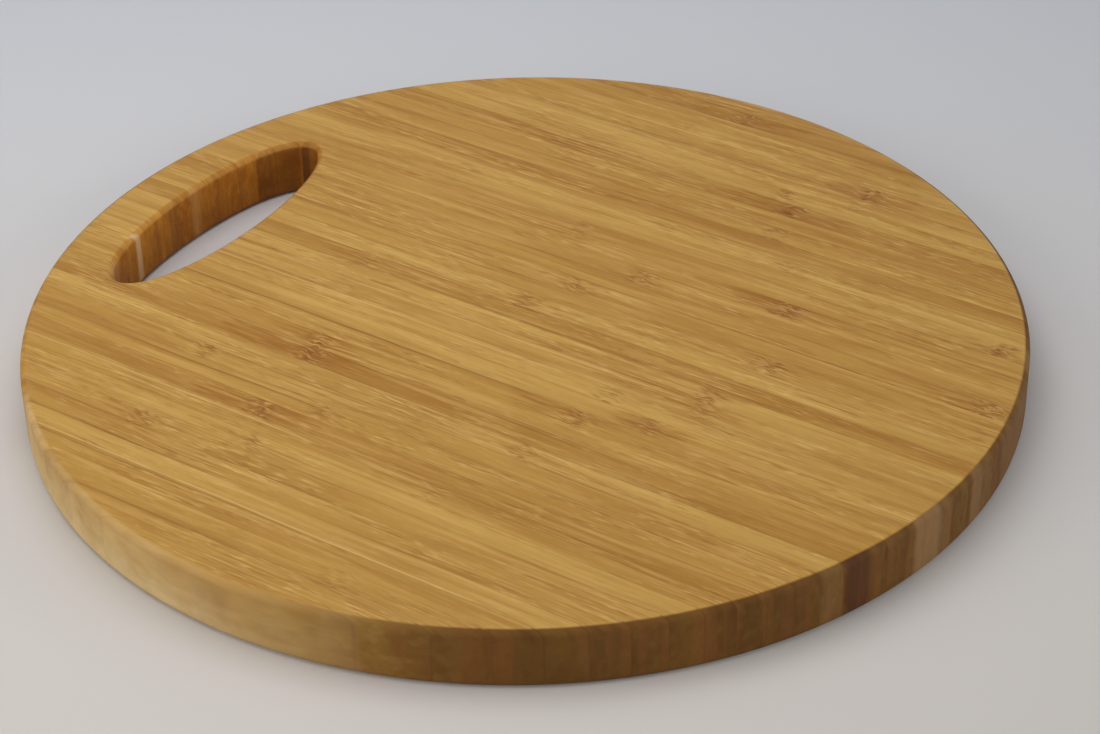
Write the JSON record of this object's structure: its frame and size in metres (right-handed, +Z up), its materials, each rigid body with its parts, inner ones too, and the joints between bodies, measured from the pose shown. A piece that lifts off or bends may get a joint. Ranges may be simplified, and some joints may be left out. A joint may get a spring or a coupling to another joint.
{
  "type": "round bamboo cutting board",
  "caption": "Round cutting board of edge-glued bamboo laths with rounded edges and an oval hand slot near the rim for carrying or hanging.",
  "frame": {"origin": "centre of the disc's underside, so the board lies on the plane Z = 0", "axes": "+Z up out of the cutting face, X along the grain with the hand slot towards -X, Y across the laths"},
  "size_m": [0.3, 0.3, 0.019],
  "materials": {
    "bamboo_straw": "sanded and oiled, satin",
    "bamboo_honey": "sanded and oiled, satin",
    "bamboo_amber": "sanded and oiled, satin"
  },
  "bodies": {
    "root": {"strip_01": "bamboo_honey", "strip_02": "bamboo_honey", "strip_03": "bamboo_honey", "strip_04": "bamboo_honey", "strip_05": "bamboo_straw", "strip_06": "bamboo_honey", "strip_07": "bamboo_honey", "strip_08": "bamboo_straw", "strip_09": "bamboo_honey", "strip_10": "bamboo_amber", "strip_11": "bamboo_honey", "strip_12": "bamboo_honey", "strip_13": "bamboo_straw", "strip_14": "bamboo_amber", "strip_15": "bamboo_honey", "strip_16": "bamboo_honey", "strip_17": "bamboo_straw", "strip_18": "bamboo_straw", "strip_19": "bamboo_straw", "strip_20": "bamboo_straw", "strip_21": "bamboo_amber", "strip_22": "bamboo_straw", "strip_23": "bamboo_honey", "strip_24": "bamboo_honey", "strip_25": "bamboo_honey", "strip_26": "bamboo_honey", "strip_27": "bamboo_honey", "strip_28": "bamboo_honey", "strip_29": "bamboo_straw", "strip_30": "bamboo_straw", "strip_31": "bamboo_amber", "strip_32": "bamboo_honey", "strip_33": "bamboo_honey", "strip_34": "bamboo_amber", "strip_35": "bamboo_straw", "strip_36": "bamboo_straw", "strip_37": "bamboo_honey", "strip_38": "bamboo_straw", "strip_39": "bamboo_honey", "strip_40": "bamboo_amber", "strip_41": "bamboo_amber", "grip_strip_15": "bamboo_honey", "grip_strip_16": "bamboo_honey", "grip_strip_17": "bamboo_straw", "grip_strip_18": "bamboo_straw", "grip_strip_19": "bamboo_straw", "grip_strip_20": "bamboo_straw", "grip_strip_21": "bamboo_amber", "grip_strip_22": "bamboo_straw", "grip_strip_23": "bamboo_honey", "grip_strip_24": "bamboo_honey", "grip_strip_25": "bamboo_honey", "grip_strip_26": "bamboo_honey", "grip_strip_27": "bamboo_honey"}
  },
  "joints": []
}
